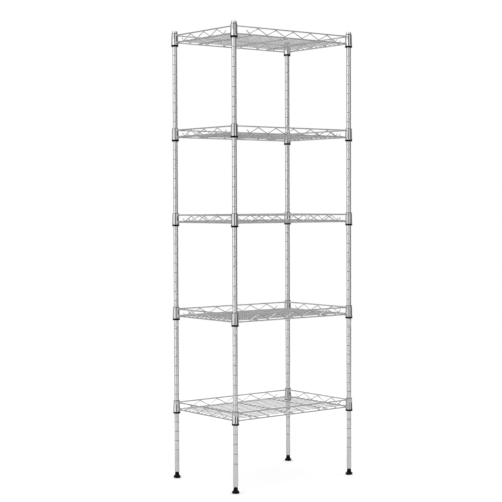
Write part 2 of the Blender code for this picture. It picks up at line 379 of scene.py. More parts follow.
@dataclass(frozen=True)
class WireChrome(Finish):
    """Plate on drawn wire: cloudy brightness, die lines and small pits."""

    shade_colour: Colour = (0.26, 0.26, 0.26)
    cloud_grains: float = 55.0
    fine_grains: float = 900.0
    pit_grains: float = 1600.0

    def paint(self, bench: NodeBench, shader: bpy.types.Node) -> None:
        """Clouds of brighter and duller plate along the wire.

        Args:
            bench: The bench of the material's tree.
            shader: Its Principled shader.
        """
        place = bench.place()
        clouds = bench.noise(place, self.cloud_grains, 3.0).ramp(0.35, 0.72)
        grain = bench.noise(place, self.fine_grains)
        pits = bench.noise(place, self.pit_grains, 1.0).ramp(0.66, 0.75)
        shade = (clouds * 0.3 + grain * 0.14 + pits * 0.3).clamped()
        colour = bench.blended(shade, self.colour, self.shade_colour)
        rough = clouds * 0.1 + grain * 0.06 + pits * 0.15
        relief = grain * 0.5 + clouds * 0.3 - pits * 0.6
        self.fill(bench, shader, colour, rough, bench.bumped(relief, 0.00004, 0.35))


@dataclass(frozen=True)
class ZincPlate(Finish):
    """Dull plate with a faint yellow bloom and cut thread lines."""

    bloom_colour: Colour = (0.62, 0.60, 0.50)
    thread_pitch: float = 0.0015
    bloom_grains: float = 160.0
    fine_grains: float = 1400.0

    def paint(self, bench: NodeBench, shader: bpy.types.Node) -> None:
        """A bloom over the plate, with threads in the bump.

        Args:
            bench: The bench of the material's tree.
            shader: Its Principled shader.
        """
        place = bench.place()
        height = bench.axes(place)[2]
        bloom = bench.noise(place, self.bloom_grains, 3.0).ramp(0.4, 0.7)
        grain = bench.noise(place, self.fine_grains)
        thread = abs((height / self.thread_pitch).fraction() - 0.5) * 2.0
        colour = bench.blended(bloom * 0.6 + grain * 0.2, self.colour, self.bloom_colour)
        rough = bloom * 0.15 + grain * 0.1
        self.fill(bench, shader, colour, rough, bench.bumped(thread + grain * 0.1, 0.0006, 0.8))


@dataclass(frozen=True)
class MouldedPlastic(Finish):
    """Satin black moulding with a fine spark-eroded grain, dust, and scuffs where it meets the floor."""

    dust_colour: Colour = (0.03, 0.03, 0.03)
    scuff_colour: Colour = (0.16, 0.155, 0.15)
    metallic: float = 0.0
    gloss: float = 0.16
    scuff_height: float = 0.0035
    fine_grains: float = 2600.0
    dust_grains: float = 210.0
    scratch_grains: float = 1500.0

    def paint(self, bench: NodeBench, shader: bpy.types.Node) -> None:
        """Grain over the moulding, dust in patches, and scuffs close to the floor.

        Args:
            bench: The bench of the material's tree.
            shader: Its Principled shader.
        """
        place = bench.place()
        height = bench.axes(place)[2]
        grain = bench.noise(place, self.fine_grains)
        dust = bench.noise(place, self.dust_grains, 4.0).ramp(0.5, 0.8)
        drawn = bench.stretched(place, (1.0, 1.0, 0.12))
        scratches = bench.noise(drawn, self.scratch_grains).ramp(0.56, 0.7)
        scuffs = height.ramp(self.scuff_height, 0.0) * scratches
        dusty = bench.blended(dust * 0.35 + grain * 0.08, self.colour, self.dust_colour)
        colour = bench.blended(scuffs * 0.7, dusty, self.scuff_colour)
        shader.inputs["Specular IOR Level"].default_value = self.gloss
        rough = dust * 0.15 + grain * 0.12 + scuffs * 0.2
        relief = grain * 0.8 - scratches * 0.4
        self.fill(bench, shader, colour, rough, bench.bumped(relief, 0.00006, 0.6))


POST_CHROME = PostChrome("post_chrome", (0.81, 0.81, 0.81), 0.22)
COLLAR_CHROME = PressedChrome("collar_chrome", (0.66, 0.66, 0.66), 0.03)
RAIL_CHROME = WireChrome("rail_chrome", (0.86, 0.86, 0.86), 0.16)
DECK_CHROME = WireChrome("deck_chrome", (0.78, 0.78, 0.78), 0.20)
STUD_ZINC = ZincPlate("stud_zinc", (0.52, 0.53, 0.54), 0.38)
BLACK_MOULDING = MouldedPlastic("black_moulding", (0.004, 0.004, 0.004), 0.45)


# ---------------------------------------------------------------- modelling steps


class Workshop:
    """Modelling steps that every sub-assembly uses."""

    @staticmethod
    def alone(obj: bpy.types.Object) -> None:
        """Selects one object and makes it the active one.

        Args:
            obj: The object to work on.
        """
        bpy.ops.object.select_all(action="DESELECT")
        obj.select_set(True)
        bpy.context.view_layer.objects.active = obj

    @staticmethod
    def finished(obj: bpy.types.Object, name: str) -> bpy.types.Object:
        """Closes seams, turns the faces outwards and puts the object at the origin.

        Args:
            obj: The object, in edit mode.
            name: The name it gets.

        Returns:
            The object, in object mode.
        """
        bpy.ops.mesh.select_all(action="SELECT")
        bpy.ops.mesh.remove_doubles(threshold=MERGE)
        bpy.ops.mesh.normals_make_consistent(inside=False)
        bpy.ops.object.mode_set(mode="OBJECT")
        bpy.ops.object.transform_apply(location=True, rotation=True, scale=True)
        bpy.ops.object.shade_smooth_by_angle(angle=SHADE_ANGLE)
        obj.name = name
        obj.data.name = name
        return obj

    @classmethod
    def turned(
        cls, name: str, outline: Sequence[Point], sides: int, slit: float = 0.0
    ) -> bpy.types.Object:
        """Spins a closed outline about the upright axis through the origin.

        Args:
            name: The piece's name.
            outline: Corners as (radius, height). It closes on its first corner, or on the axis.
            sides: The number of steps round.
            slit: The angle left open, with its middle halfway between +X and +Y.

        Returns:
            The turned piece.
        """
        start = math.pi / 4 + slit / 2 if slit else 0.0
        way = Vector((math.cos(start), math.sin(start), 0.0))
        corners = [way * radius + Vector((0.0, 0.0, height)) for radius, height in outline]
        if outline[0][0] > MERGE:
            corners.append(corners[0])
        bpy.ops.object.select_all(action="DESELECT")
        bpy.ops.mesh.primitive_plane_add(size=SEED_SIZE, location=corners[0])
        obj = bpy.context.active_object
        bpy.ops.object.mode_set(mode="EDIT")
        bpy.ops.mesh.merge(type="CENTER")
        for first, second in zip(corners, corners[1:]):
            bpy.ops.mesh.extrude_vertices_move(TRANSFORM_OT_translate={"value": second - first})
        bpy.ops.mesh.select_all(action="SELECT")
        if slit:
            bpy.ops.mesh.remove_doubles(threshold=MERGE)
            bpy.ops.mesh.edge_face_add()
        bpy.ops.mesh.spin(steps=sides, angle=TURN - slit, center=(0.0, 0.0, 0.0), axis=(0.0, 0.0, 1.0))
        return cls.finished(obj, name)

    @classmethod
    def bent_wire(
        cls,
        name: str,
        route: Sequence[Vector],
        radius: float,
        sides: int,
        bend: float = 0.0,
        steps: int = 4,
    ) -> bpy.types.Object:
        """Feeds a round wire along a route, bends it at each corner and rounds off its two cut ends.

        Args:
            name: The piece's name.
            route: The corners of the wire's centre line.
            radius: The wire's radius.
            sides: Flats round the wire.
            bend: Radius of the centre line in each bend.
            steps: Steps in each bend.

        Returns:
            The wire.
        """
        way = (route[1] - route[0]).normalized()
        turn = way.to_track_quat("Z", "Y").to_euler()
        nose = NOSE_SHARE * radius
        bpy.ops.object.select_all(action="DESELECT")
        bpy.ops.mesh.primitive_circle_add(
            vertices=sides, radius=radius - nose, fill_type="NGON", location=route[0], rotation=turn
        )
        obj = bpy.context.active_object
        bpy.ops.object.mode_set(mode="EDIT")
        cls.feed(way * nose, radius / (radius - nose), route[0] + way * nose)
        here = route[0] + way * nose
        for corner, after in zip(route[1:], route[2:]):
            ahead = (after - corner).normalized()
            angle = way.angle(ahead)
            trim = bend * math.tan(angle / 2)
            into = corner - way * trim
            cls.feed(into - here)
            axis = way.cross(ahead).normalized()
            centre = into + axis.cross(way) * bend
            bpy.ops.mesh.spin(steps=steps, angle=-angle, center=centre, axis=axis)
            here = corner + ahead * trim
            way = ahead
        last = route[-1] - way * nose
        cls.feed(last - here)
        cls.feed(way * nose, (radius - nose) / radius, route[-1])
        return cls.finished(obj, name)

    @staticmethod
    def feed(move: Vector, ratio: float = 1.0, centre: Optional[Vector] = None) -> None:
        """Extrudes the selected face, and resizes the new one.

        Args:
            move: How far the face goes.
            ratio: The new face's size over the old one's.
            centre: The point that the resizing leaves in place.
        """
        bpy.ops.mesh.extrude_region_move(TRANSFORM_OT_translate={"value": move})
        if ratio != 1.0:
            bpy.ops.transform.resize(value=(ratio, ratio, ratio), center_override=centre)

    @staticmethod
    def copied(obj: bpy.types.Object, name: str, move: Matrix) -> bpy.types.Object:
        """Copies a piece, with its own mesh, to another place.

        Args:
            obj: The piece.
            name: The copy's name.
            move: What takes the piece to the copy's place.

        Returns:
            The copy, at the origin with its place in its mesh.
        """
        made = obj.copy()
        made.data = obj.data.copy()
        made.name = made.data.name = name
        made.data.transform(move)
        bpy.context.scene.collection.objects.link(made)
        return made

    @classmethod
    def joined(cls, name: str, pieces: Sequence[bpy.types.Object]) -> bpy.types.Object:
        """Joins several pieces in one object.

        Args:
            name: The name of the result.
            pieces: The pieces, which it takes up.

        Returns:
            The joined piece.
        """
        cls.alone(pieces[0])
        for piece in pieces:
            piece.select_set(True)
        bpy.ops.object.join()
        made = bpy.context.active_object
        made.name = made.data.name = name
        return made

    @classmethod
    def repeated(
        cls, name: str, pattern: bpy.types.Object, moves: Sequence[Matrix]
    ) -> bpy.types.Object:
        """Puts a copy of a pattern at every place, in one object.

        Args:
            name: The name of the result.
            pattern: What is copied, and then removed.
            moves: What takes the pattern to each place.

        Returns:
            The joined copies.
        """
        made = [cls.copied(pattern, name, move) for move in moves]
        bpy.data.objects.remove(pattern)
        return cls.joined(name, made)


def shift(x: float = 0.0, y: float = 0.0, z: float = 0.0) -> Matrix:
    """A move along the axes."""
    return Matrix.Translation((x, y, z))


def swapped(place: Place) -> Place:
    """The same sizes with X and Y exchanged."""
    return place[1], place[0], place[2]


def dressed(
    obj: bpy.types.Object, finish: Finish, slot: Slot, body: str, *nodes: str
) -> bpy.types.Object:
    """Gives a piece its finish, its body and the frame nodes that it stands for.

    Args:
        obj: The piece.
        finish: Its finish.
        slot: The slot that the finish belongs to; not used.
        body: The body that it rides on.
        nodes: The frame nodes that it replaces.

    Returns:
        The piece.
    """
    obj.data.materials.clear()
    obj.data.materials.append(finish.material())
    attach(obj, body)
    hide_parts(*nodes)
    return obj


def arc(centre: Point, radii: Point, first: float, last: float, steps: int) -> list[Point]:
    """Points round part of an ellipse.

    Args:
        centre: Its centre, as (radius, height).
        radii: Its half width and half height.
        first: The starting angle, in degrees.
        last: The closing angle, in degrees.
        steps: The number of steps between them.

    Returns:
        The points, both ends with them.
    """
    angles = [math.radians(first + (last - first) * step / steps) for step in range(steps + 1)]
    return [
        (centre[0] + radii[0] * math.cos(angle), centre[1] + radii[1] * math.sin(angle))
        for angle in angles
    ]


# ---------------------------------------------------------------- the rack's layout


@dataclass
class Layout:
    """Where the frame has its posts, sleeves and shelves."""

    corners: tuple[str, ...] = ("front_left", "front_right", "back_left", "back_right")
    levels: tuple[str, ...] = ("lower", "middle", "upper")
    shelves: range = range(1, 6)
    axes: dict[str, Point] = field(default_factory=dict)

    def __post_init__(self) -> None:
        """Reads the post axes and the sizes that several pieces share."""
        for corner in self.corners:
            low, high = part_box("post_lower_" + corner)
            middle = (low + high) / 2
            self.axes[corner] = (middle.x, middle.y)
        self.post_radius = self.turned_radius("post_lower_front_left")
        self.half_x = self.axes["front_right"][0]
        self.half_y = self.axes["back_left"][1]

    def turned_radius(self, node: str) -> float:
        """The radius of a frame node that is turned in flats, with a flat at each end of its box."""
        low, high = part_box(node)
        return (high.x - low.x) / 2 / math.cos(math.pi / FRAME_FLATS)

    def shelf_span(self, shelf: int) -> tuple[float, float]:
        """Heights of the lower and upper ends of a shelf's collars."""
        low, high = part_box(f"shelf_frame_{shelf}")
        return low.z, high.z


# ---------------------------------------------------------------- posts


@dataclass
class Posts:
    """The four grooved posts, each of three tubes, with a domed cap on top."""

    layout: Layout
    sides: int = 36
    wall: float = 0.0010
    groove_pitch: float = 0.0254
    first_groove: int = 3
    groove_depth: float = 0.00055
    groove_half_height: float = 0.0011
    groove_run_out: float = 0.0006
    end_clear: float = 0.004
    end_round: float = 0.0004
    seat_gap: float = 0.0003
    cap_shoulder: float = 0.0028
    cap_crown: float = 0.0009
    dome_steps: int = 6

    def grooves(self, bottom: float, top: float) -> list[float]:
        """Heights of the grooves on a tube, from the top down.

        Args:
            bottom: Height of the tube's lower end.
            top: Height of its upper end.

        Returns:
            The heights.
        """
        first = max(self.first_groove, math.ceil((bottom + self.end_clear) / self.groove_pitch))
        last = math.floor((top - self.end_clear) / self.groove_pitch)
        return [number * self.groove_pitch for number in range(last, first - 1, -1)]

    def groove_outline(self, height: float) -> list[Point]:
        """One rolled groove with its run-outs, from the top down.

        Args:
            height: Height of the groove's middle.

        Returns:
            Its stretch of the tube's outline.
        """
        radius, half, depth = self.layout.post_radius, self.groove_half_height, self.groove_depth
        edge = half + self.groove_run_out
        upper = [(edge, 0.0), (half, 0.0), (0.5 * half, 0.75 * depth)]
        lower = [(-rise, cut) for rise, cut in reversed(upper)]
        return [(radius - cut, height + rise) for rise, cut in (*upper, (0.0, depth), *lower)]

    def tube_outline(self, bottom: float, top: float) -> list[Point]:
        """A tube's wall with every rolled groove in it.

        Args:
            bottom: Height of the lower end.
            top: Height of the upper end.

        Returns:
            The outline, down the outside and back up the bore.
        """
        radius = self.layout.post_radius
        round_off = self.end_round
        outline = arc((radius - round_off, top - round_off), (round_off, round_off), 90, 0, 3)
        for height in self.grooves(bottom, top):
            outline += self.groove_outline(height)
        outline += arc((radius - round_off, bottom + round_off), (round_off, round_off), 0, -90, 3)
        bore = radius - self.wall
        return outline + [(bore, bottom), (bore, top)]

    def cap_outline(self) -> list[Point]:
        """A cap's crown and shoulder, its rim and the plug that holds it in the tube.

        Returns:
            The outline, which starts and ends on the axis.
        """
        radius = self.layout.turned_radius("post_cap_front_left")
        low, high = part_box("post_cap_front_left")
        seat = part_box("post_upper_front_left")[1].z + self.seat_gap
        shoulder = self.cap_shoulder
        crown = radius - shoulder
        start = high.z - self.cap_crown - shoulder
        outline = arc((0.0, high.z - self.cap_crown), (crown, self.cap_crown), 90, 8, self.dome_steps)
        outline += arc((crown, start), (shoulder, shoulder), 75, 0, self.dome_steps)
        outline += [(radius, seat + self.end_round), (radius - self.end_round, seat)]
        plug = self.layout.post_radius - self.wall - self.seat_gap
        return outline + [(plug, seat), (plug, low.z), (0.0, low.z)]

    def build(self) -> list[bpy.types.Object]:
        """Models each tube and the cap once, and copies them to the corners.

        Returns:
            The dressed pieces.
        """
        made = []
        for level in self.layout.levels:
            low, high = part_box(f"post_{level}_front_left")
            outline = self.tube_outline(low.z, high.z)
            made += self.to_corners("post_" + level, outline, "grooved_post")
        made += self.to_corners("post_cap", self.cap_outline(), "domed_cap")
        return made

    def to_corners(self, node: str, outline: list[Point], name: str) -> list[bpy.types.Object]:
        """Turns one piece and stands a copy on every post axis.

        Args:
            node: The frame nodes' name without the corner.
            outline: The piece's outline.
            name: What the piece is called.

        Returns:
            The dressed pieces.
        """
        pattern = Workshop.turned(name, outline, self.sides)
        made = []
        for corner, (x, y) in self.layout.axes.items():
            title = f"{node.replace('post', name, 1)}_{corner}"
            piece = Workshop.copied(pattern, title, shift(x, y))
            made.append(dressed(piece, POST_CHROME, Slot.TUBE, "posts", f"{node}_{corner}"))
        bpy.data.objects.remove(pattern)
        return made


@dataclass
class JointStuds:
    """The zinc-plated studs inside the post joints, kept as the frame has them."""

    layout: Layout

    def build(self) -> list[bpy.types.Object]:
        """Gives every stud of the frame its finish.

        Returns:
            The frame's own studs.
        """
        made = []
        for level in ("low", "high"):
            for corner in self.layout.corners:
                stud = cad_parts[f"joint_stud_{level}_{corner}"]
                stud.data.materials.clear()
                stud.data.materials.append(STUD_ZINC.material())
                made.append(stud)
        return made


# ---------------------------------------------------------------- levelling feet


@dataclass
class LevellingFeet:
    """Moulded bell-shaped feet on threaded stems."""

    layout: Layout
    sides: int = 36
    base_radius: float = 0.0080
    bell_radius: float = 0.0095
    bell_height: float = 0.0056
    neck_radius: float = 0.0052
    neck_height: float = 0.0115
    edge_round: float = 0.0009
    stem_radius: float = 0.0030
    thread_pitch: float = 0.00125
    thread_depth: float = 0.0003
    sole_rim: float = 0.0022
    recess_depth: float = 0.0006
    recess_slope: float = 0.0005
    seat_gap: float = 0.0003

    def outline(self, bottom: float, shoulder: float, top: float) -> list[Point]:
        """The foot from the tip of its stem down to the floor.

        Args:
            bottom: Height of the sole.
            shoulder: Height at which the stem leaves the moulding.
            top: Height of the stem's tip.

        Returns:
            The outline, which starts and ends on the axis.
        """
        root = self.stem_radius - self.thread_depth
        points = [(0.0, top), (root, top)]
        turns = int((top - shoulder) / self.thread_pitch)
        for turn in range(turns):
            height = top - (turn + 0.5) * self.thread_pitch
            points += [(self.stem_radius, height), (root, height - 0.5 * self.thread_pitch)]
        edge, neck, bell = self.edge_round, self.neck_radius, self.bell_radius
        throat = neck + 0.5 * edge
        points += [(root, shoulder)]
        points += arc((neck - edge, shoulder - edge), (edge, edge), 90, 0, 4)
        drop = self.neck_height - self.bell_height
        points += arc((bell, bottom + self.neck_height), (bell - throat, drop), 180, 255, 8)
        points += arc((bell - edge, bottom + self.bell_height - edge), (edge, edge), 60, 0, 3)
        points += arc((bell - 2 * edge, bottom + 2 * edge), (2 * edge, 2 * edge), 0, -60, 4)
        points += [(self.base_radius, bottom)]
        recess, roof = self.base_radius - self.sole_rim, bottom + self.recess_depth
        return points + [(recess, bottom), (recess - self.recess_slope, roof), (0.0, roof)]

    def build(self) -> list[bpy.types.Object]:
        """Models one foot and copies it to the corners.

        Returns:
            The dressed pieces.
        """
        low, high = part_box("levelling_foot_front_left")
        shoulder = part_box("post_lower_front_left")[0].z - self.seat_gap
        pattern = Workshop.turned("foot_pattern", self.outline(low.z, shoulder, high.z), self.sides)
        made = []
        for corner, (x, y) in self.layout.axes.items():
            piece = Workshop.copied(pattern, f"moulded_foot_{corner}", shift(x, y))
            node = "levelling_foot_" + corner
            made.append(dressed(piece, BLACK_MOULDING, Slot.PLASTIC, "foot_" + corner, node))
        bpy.data.objects.remove(pattern)
        return made


# ---------------------------------------------------------------- sleeves


@dataclass
class Sleeves:
    """Split plastic sleeves, whose black flanges show under the collars."""

    layout: Layout
    sides: int = 36
    flange_half_height: float = 0.00225
    flange_radius: float = 0.0097
    top_wall: float = 0.0007
    slope: float = 0.026
    edge_round: float = 0.0005
    slit: float = math.radians(6)
    gap: float = 0.0003
    top_chamfer: Point = (0.0002, 0.0003)
    bore_chamfer: float = 0.0004

    def outline(self, bottom: float, top: float) -> list[Point]:
        """The sleeve's wall, down the taper, round the flange and up the bore.

        Args:
            bottom: Height of the flange's underside.
            top: Height of the taper's upper end.

        Returns:
            The outline, which closes on its first corner.
        """
        bore = self.layout.post_radius + self.gap
        shelf = bottom + 2 * self.flange_half_height
        edge = self.edge_round
        foot_radius = bore + self.top_wall + (top - shelf) * self.slope
        flange = self.flange_radius - edge
        wall, (run, drop) = bore + self.top_wall, self.top_chamfer
        outline = [(wall - run, top), (wall, top - drop), (foot_radius, shelf)]
        outline += arc((flange, shelf - edge), (edge, edge), 90, 0, 3)
        outline += arc((flange, bottom + edge), (edge, edge), 0, -90, 3)
        chamfer = self.bore_chamfer
        return outline + [(bore + chamfer, bottom), (bore, bottom + chamfer), (bore, top)]

    def build(self) -> list[bpy.types.Object]:
        """Models one sleeve and copies it to every post at every shelf.

        Returns:
            The dressed pieces.
        """
        base, top = (corner.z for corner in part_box("sleeve_1_front_left"))
        pattern = Workshop.turned("sleeve_pattern", self.outline(base, top), self.sides, slit=self.slit)
        turns = dict(zip(self.layout.corners, (0.0, TURN / 4, -TURN / 4, TURN / 2)))
        made = []
        for shelf in self.layout.shelves:
            for corner, (x, y) in self.layout.axes.items():
                node = f"sleeve_{shelf}_{corner}"
                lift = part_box(node)[0].z - base
                move = shift(x, y, lift) @ Matrix.Rotation(turns[corner], 4, "Z")
                piece = Workshop.copied(pattern, f"split_{node}", move)
                made.append(dressed(piece, BLACK_MOULDING, Slot.PLASTIC, "posts", node))
        bpy.data.objects.remove(pattern)
        return made


# ---------------------------------------------------------------- shelves


@dataclass
class Shelf:
    """One welded wire shelf, modelled at the lowest datum and copied to the others."""

    layout: Layout
    collar_sides: int = 36
    collar_wall: float = 0.0009
    collar_foot_radius: float = 0.0094
    collar_top_radius: float = 0.0086
    lip: float = 0.0003
    thick_wire_sides: int = 12
    thin_wire_sides: int = 10
    rail_radius: float = 0.0018
    rail_rise: float = 0.00625  # lower rail over the collar's foot
    rail_drop: float = 0.00455  # upper rail under the collar's top
    zigzag_radius: float = 0.0012
    zigzag_pitch: float = 0.0588
    zigzag_end_space: float = 0.040
    zigzag_bend: float = 0.0030
    tail_run: float = 0.009
    tail_rise: float = 0.0085
    support_radius: float = 0.0015
    support_inset: float = 0.078
    support_rise: float = 0.0013
    end_drop_run: float = 0.006
    deck_radius: float = 0.0011
    deck_inset: float = 0.017
    deck_pitch: float = 0.019
    weld: float = 0.0005  # how far two welded wires melt together
    lip_drop: float = 0.0015
    foot_lip_rise: float = 0.0020
    support_bead: Place = (0.0013, 0.0010, 0.0005)  # half sizes, as of every bead
    rail_bead: Place = (0.0012, 0.0014, 0.0005)
    support_end_bead: Place = (0.0020, 0.0008, 0.0016)
    bend_bead: Place = (0.0030, 0.0011, 0.0005)
    collar_bead: Place = (0.0012, 0.0026, 0.0026)
    bead_stand_off: float = 0.0001

    def __post_init__(self) -> None:
        """Works out the heights of the rails."""
        self.foot, self.top = self.layout.shelf_span(self.layout.shelves[0])
        self.low = self.foot + self.rail_rise
        self.high = self.top - self.rail_drop

    def collar_radius(self, height: float) -> float:
        """The collar's outer radius at a height."""
        share = (height - self.foot) / (self.top - self.foot)
        return self.collar_foot_radius + share * (self.collar_top_radius - self.collar_foot_radius)

    def collars(self) -> bpy.types.Object:
        """The four tapered collars, with a rolled lip at each end.

        Returns:
            The collars, joined.
        """
        lip, wall = self.lip, self.collar_wall
        top, foot = self.collar_top_radius, self.collar_foot_radius
        outline = arc((top - wall / 2, self.top - wall / 2), (wall / 2 + lip * 0.3, wall / 2), 180, 0, 6)
        taper_ends = self.top - self.lip_drop, self.foot + self.foot_lip_rise
        taper = [(self.collar_radius(height), height) for height in taper_ends]
        outline += taper
        outline += arc((foot - wall / 2, self.foot + wall / 2), (wall / 2 + lip, wall / 2), 0, -180, 6)
        outline += [(radius - wall, height) for radius, height in reversed(taper)]
        pattern = Workshop.turned("collar_pattern", outline, self.collar_sides)
        return Workshop.repeated("collars", pattern, [shift(x, y) for x, y in self.layout.axes.values()])

    def round_the_rim(
        self, name: str, routes: Sequence[Sequence[list[Point]]], radius: float, sides: int
    ) -> bpy.types.Object:
        """Bends a wire for a long and for a short side, and copies each to the opposite side.

        Args:
            name: The name of the joined wires.
            routes: A long and a short side's route for each ring, as (place along the side, height).
            radius: The wires' radius.
            sides: Flats round the wires.

        Returns:
            The wires of all four sides.
        """
        half_x, half_y = self.layout.half_x, self.layout.half_y
        made = []
        for long_run, short_run in routes:
            long_route = [Vector((x, -half_y, z)) for x, z in long_run]
            short_route = [Vector((-half_x, y, z)) for y, z in short_run]
            for route, across in ((long_route, shift(y=2 * half_y)), (short_route, shift(x=2 * half_x))):
                wire = Workshop.bent_wire(name, route, radius, sides, self.zigzag_bend)
                made += [wire, Workshop.copied(wire, name, across)]
        return Workshop.joined(name, made)

    def rails(self) -> bpy.types.Object:
        """The upper and lower rail of every side, each run into the collar's wall.

        Returns:
            The rails, joined.
        """
        routes = []
        for height in (self.low, self.high):
            inset = self.collar_radius(height) - self.collar_wall / 2
            ends = self.layout.half_x - inset, self.layout.half_y - inset
            routes.append([[(-end, height), (end, height)] for end in ends])
        return self.round_the_rim("rails", routes, self.rail_radius, self.thick_wire_sides)

    def zigzag_route(self, length: float) -> list[Point]:
        """Corners of a zigzag wire as (place along the side from its middle, height).

        Args:
            length: Distance between the post axes of the side.

        Returns:
            The corners, with both tails.
        """
        pitches = int((length - 2 * self.zigzag_end_space) / self.zigzag_pitch)
        first = (length - pitches * self.zigzag_pitch) / 2
        offset = self.rail_radius + self.zigzag_radius - self.weld
        low, high = self.low + offset, self.high - offset
        points = [(first - self.tail_run, low + self.tail_rise)]
        for bend in range(2 * pitches + 1):
            points.append((first + bend * self.zigzag_pitch / 2, high if bend % 2 else low))
        points.append((length - first + self.tail_run, low + self.tail_rise))
        return [(run - length / 2, height) for run, height in points]

    def zigzags(self) -> bpy.types.Object:
        """The zigzag wire between the rails of every side.

        Returns:
            The zigzag wires, joined.
        """
        lengths = 2 * self.layout.half_x, 2 * self.layout.half_y
        routes = [[self.zigzag_route(length) for length in lengths]]
        return self.round_the_rim("zigzags", routes, self.zigzag_radius, self.thin_wire_sides)

    def support_places(self) -> tuple[float, ...]:
        """Where the cross supports stand along the shelf."""
        outer = self.layout.half_x - self.support_inset
        return -outer, 0.0, outer

    def deck_places(self) -> list[float]:
        """Where the deck wires lie across the shelf.

        Returns:
            The wires' places along Y.
        """
        edge = self.layout.half_y - self.deck_inset
        spaces = round(2 * edge / self.deck_pitch)
        return [-edge + 2 * edge * number / spaces for number in range(spaces + 1)]

    def deck_height(self) -> float:
        """Height of the deck wires' centre lines."""
        return self.low + self.support_rise + self.support_radius + self.deck_radius - self.weld

    def cross_supports(self) -> bpy.types.Object:
        """The supports, welded between the long sides' lower rails.

        Returns:
            The supports, joined.
        """
        reach = self.layout.half_y - self.rail_radius + self.weld
        height = self.low + self.support_rise
        route = [Vector((0.0, -reach, height)), Vector((0.0, reach, height))]
        pattern = Workshop.bent_wire("support", route, self.support_radius, self.thick_wire_sides)
        return Workshop.repeated("cross_supports", pattern, [shift(x) for x in self.support_places()])

    def deck_wires(self) -> bpy.types.Object:
        """The deck wires, which lie on the supports and dip to the short sides' lower rails.

        Returns:
            The deck wires, joined.
        """
        reach = self.layout.half_x + self.weld
        high, low = self.deck_height(), self.low + self.rail_radius + self.deck_radius - self.weld
        dip = reach - 2 * self.rail_radius
        flat = dip - self.end_drop_run
        corners = ((-reach, low), (-dip, low), (-flat, high), (flat, high), (dip, low), (reach, low))
        route = [Vector((x, 0.0, z)) for x, z in corners]
        sides, bend = self.thin_wire_sides, self.zigzag_bend
        pattern = Workshop.bent_wire("deck_wire", route, self.deck_radius, sides, bend, 2)
        return Workshop.repeated("deck_wires", pattern, [shift(y=y) for y in self.deck_places()])

    def deck_weld_places(self) -> list[tuple[Place, Place]]:
        """Place and half sizes of each weld under the deck wires and at the ends of the supports.

        Returns:
            A place and half sizes for each bead.
        """
        half_x, half_y = self.layout.half_x, self.layout.half_y
        on_support = self.deck_height() - self.deck_radius
        on_rail = self.low + self.rail_radius
        made = []
        for y in self.deck_places():
            made += [((x, y, on_support), self.support_bead) for x in self.support_places()]
            made += [((x, y, on_rail), self.rail_bead) for x in (-half_x, half_x)]
        reach, height = half_y - self.rail_radius, self.low + self.support_rise
        for x in self.support_places():
            made += [((x, y, height), self.support_end_bead) for y in (-reach, reach)]
        return made

    def frame_weld_places(self) -> list[tuple[Place, Place]]:
        """Place and half sizes of each weld on the zigzag bends and at the collars.

        Returns:
            A place and half sizes for each bead.
        """
        half_x, half_y = self.layout.half_x, self.layout.half_y
        made = []
        for length, across, along_x in ((2 * half_x, half_y, True), (2 * half_y, half_x, False)):
            for number, (run, height) in enumerate(self.zigzag_route(length)[1:-1]):
                meet = height + self.zigzag_radius * (1 if number % 2 else -1)
                for side in (-across, across):
                    place = (run, side, meet) if along_x else (side, run, meet)
                    made.append((place, self.bend_bead if along_x else swapped(self.bend_bead)))
        for x, y in self.layout.axes.values():
            for height in (self.low, self.high):
                inward = self.collar_radius(height) + self.bead_stand_off
                made.append(((x - math.copysign(inward, x), y, height), self.collar_bead))
                made.append(((x, y - math.copysign(inward, y), height), swapped(self.collar_bead)))
        return made

    def welds(self, name: str, places: list[tuple[Place, Place]]) -> bpy.types.Object:
        """Flattened beads of metal.

        Args:
            name: The name of the joined piece.
            places: Place and half sizes of each bead.

        Returns:
            The beads as one piece.
        """
        bpy.ops.object.select_all(action="DESELECT")
        bpy.ops.mesh.primitive_ico_sphere_add(subdivisions=2, radius=1.0)
        pattern = bpy.context.active_object
        bpy.ops.object.mode_set(mode="EDIT")
        pattern = Workshop.finished(pattern, "weld_pattern")
        moves = [shift(*place) @ Matrix.Diagonal((*size, 1.0)) for place, size in places]
        return Workshop.repeated(name, pattern, moves)

    def build(self) -> list[bpy.types.Object]:
        """Models the shelf's pieces once and copies them to every shelf.

        Returns:
            The dressed pieces.
        """
        patterns = (
            (self.collars(), COLLAR_CHROME, "shelf_frame"),
            (self.rails(), RAIL_CHROME, "shelf_frame"),
            (self.zigzags(), RAIL_CHROME, "shelf_frame"),
            (self.cross_supports(), DECK_CHROME, "shelf_deck"),
            (self.deck_wires(), DECK_CHROME, "shelf_deck"),
            (self.welds("deck_welds", self.deck_weld_places()), DECK_CHROME, "shelf_deck"),
            (self.welds("frame_welds", self.frame_weld_places()), RAIL_CHROME, "shelf_frame"),
        )
        made = []
        for shelf in self.layout.shelves:
            lift = self.layout.shelf_span(shelf)[0] - self.foot
            for pattern, finish, node in patterns:
                title = f"shelf_{shelf}_{pattern.name}"
                piece = Workshop.copied(pattern, title, shift(z=lift))
                made.append(dressed(piece, finish, Slot.WIRE, f"shelf_{shelf}", f"{node}_{shelf}"))
        for pattern, _, _ in patterns:
            bpy.data.objects.remove(pattern)
        return made


# ---------------------------------------------------------------- studio


@dataclass(frozen=True)
class Lamp:
    """A square soft light: its name, its place, the side of its square and its power in watts."""

    name: str
    place: Place
    side: float
    power: float


